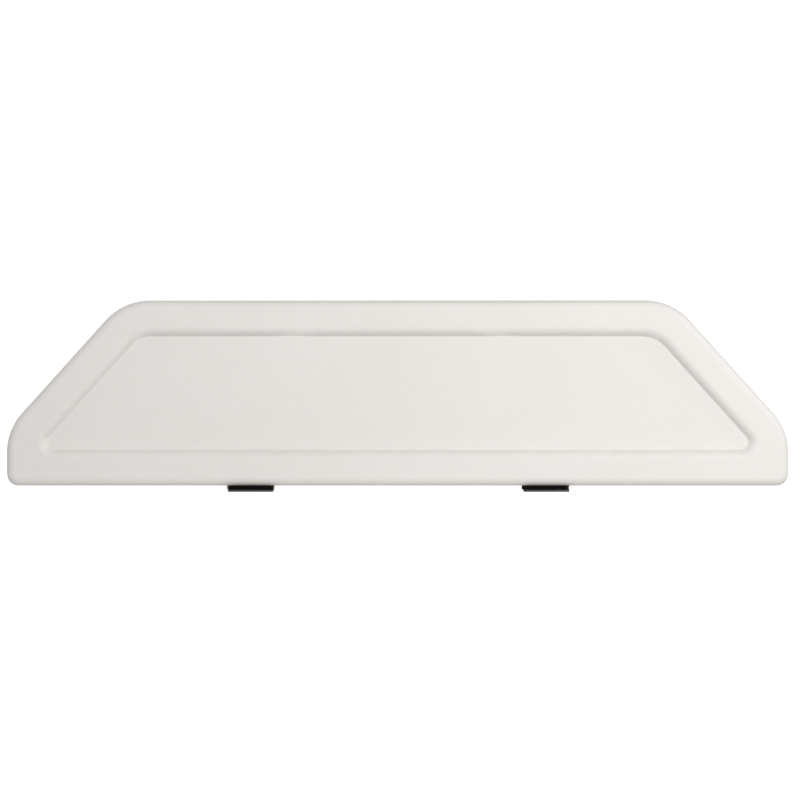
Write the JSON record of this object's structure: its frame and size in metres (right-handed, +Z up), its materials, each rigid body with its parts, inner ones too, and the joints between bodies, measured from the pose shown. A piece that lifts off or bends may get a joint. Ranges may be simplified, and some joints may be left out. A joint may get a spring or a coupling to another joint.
{
  "type": "fold-down splash panel",
  "caption": "Long low moulded splash panel with sloping shoulders and a sunk front field, standing on black butt hinges and folding backwards onto a wash station's deck.",
  "frame": {"origin": "on the deck, midway along the panel and midway between the front and rear edges of the hinge plates", "axes": "+X along the panel to the viewer's right, +Y from the front to the rear, +Z up; the sunk field faces -Y"},
  "size_m": [0.8, 0.084, 0.1958],
  "materials": {
    "resin_white": "satin off-white moulded",
    "hinge_black": "black powder coat",
    "rubber_black": "matte black",
    "steel_bright": "zinc plated",
    "insert_brass": "turned",
    "nylon_white": "natural nylon"
  },
  "bodies": {
    "base": {"left_base_leaf": "hinge_black", "left_hinge_pin": "steel_bright", "left_pin_clip": "steel_bright", "left_thrust_washers": "nylon_white", "right_base_leaf": "hinge_black", "right_hinge_pin": "steel_bright", "right_pin_clip": "steel_bright", "right_thrust_washers": "nylon_white"},
    "panel": {"front_shell": "resin_white", "rear_cover": "resin_white", "edge_seal": "rubber_black", "cover_screws": "steel_bright", "boss_inserts": "insert_brass", "left_panel_leaf": "hinge_black", "left_knuckle_bushes": "nylon_white", "left_leaf_gasket": "rubber_black", "left_leaf_screws": "steel_bright", "left_nut_plate": "steel_bright", "left_stop_pad": "rubber_black", "left_bumper": "rubber_black", "right_panel_leaf": "hinge_black", "right_knuckle_bushes": "nylon_white", "right_leaf_gasket": "rubber_black", "right_leaf_screws": "steel_bright", "right_nut_plate": "steel_bright", "right_stop_pad": "rubber_black", "right_bumper": "rubber_black"}
  },
  "joints": [
    {"name": "panel_fold", "type": "hinge", "parent": "base", "child": "panel", "pos_m": [0, -0.008, 0.004], "axis": [-1, 0, 0], "range_deg": [0, 90]}
  ]
}
